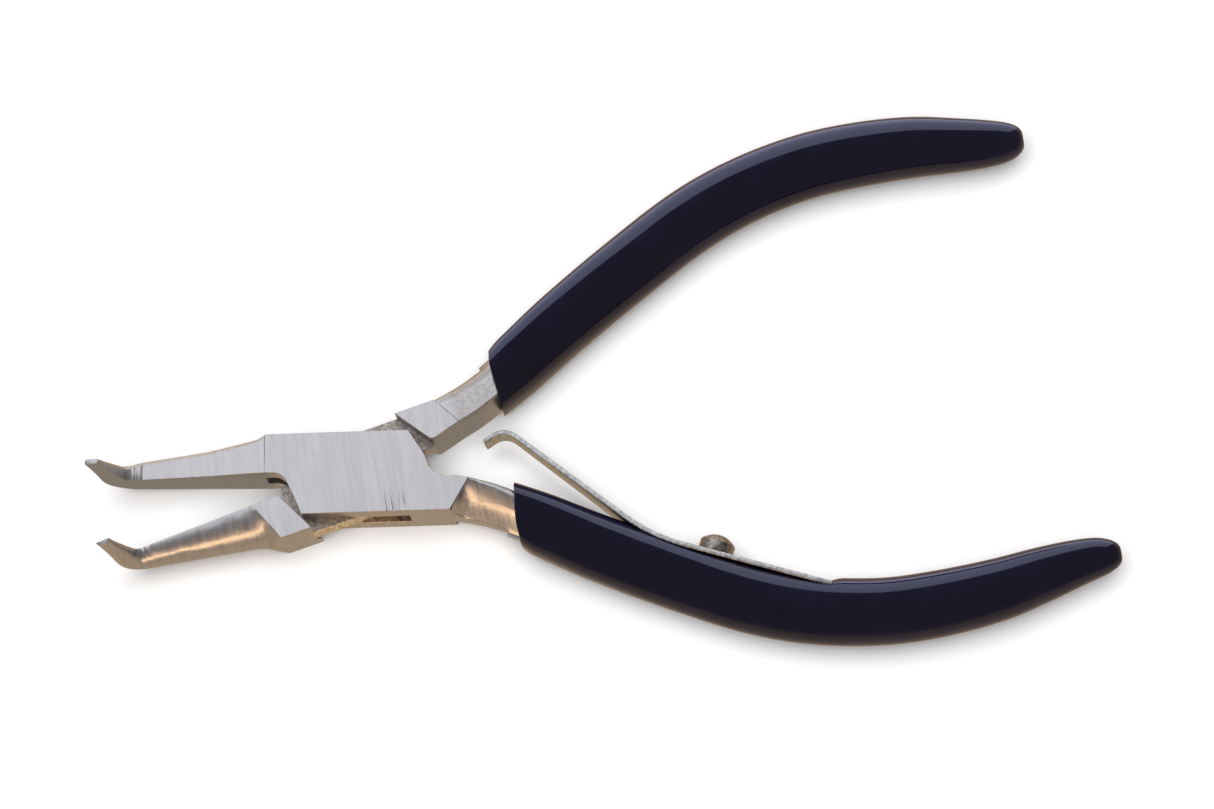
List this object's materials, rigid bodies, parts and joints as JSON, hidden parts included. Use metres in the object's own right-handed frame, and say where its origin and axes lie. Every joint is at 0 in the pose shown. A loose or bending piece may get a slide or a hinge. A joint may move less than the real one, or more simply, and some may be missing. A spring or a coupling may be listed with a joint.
{
  "type": "bent nose box joint crimping pliers",
  "caption": "Hand pliers with a box joint, bent fine jaws, sleeved handles and a leaf spring that opens them; they lie flat and open.",
  "frame": {"origin": "on the pivot axis, in the plane of the box joint's back face, which the pliers rest on", "axes": "+Z along the pivot axis, out of the front face and the way the tips bend; +X along the middle of the open handles; +Y towards the inner lever's handle"},
  "size_m": [0.1234, 0.0676, 0.014],
  "materials": {
    "outer_lever": "satin, brushed across the tool",
    "inner_lever": "satin, brushed across the tool",
    "pivot_pin": "ground flush with the box",
    "outer_grip": "glossy dipped vinyl",
    "inner_grip": "glossy dipped vinyl",
    "leaf_spring": "bright rolled spring steel",
    "spring_screw": "turned, bright"
  },
  "bodies": {
    "outer": {"outer_lever": "outer_lever", "pivot_pin": "pivot_pin", "outer_grip": "outer_grip", "leaf_spring": "leaf_spring", "spring_screw": "spring_screw"},
    "inner": {"inner_lever": "inner_lever", "inner_grip": "inner_grip"}
  },
  "joints": [
    {"name": "pivot", "type": "hinge", "parent": "outer", "child": "inner", "pos_m": [0, 0, 0], "axis": [0, 0, 1], "range_deg": [-18, 0], "stiffness_Nm_per_rad": 0.05, "deforming": ["leaf_spring"]}
  ]
}
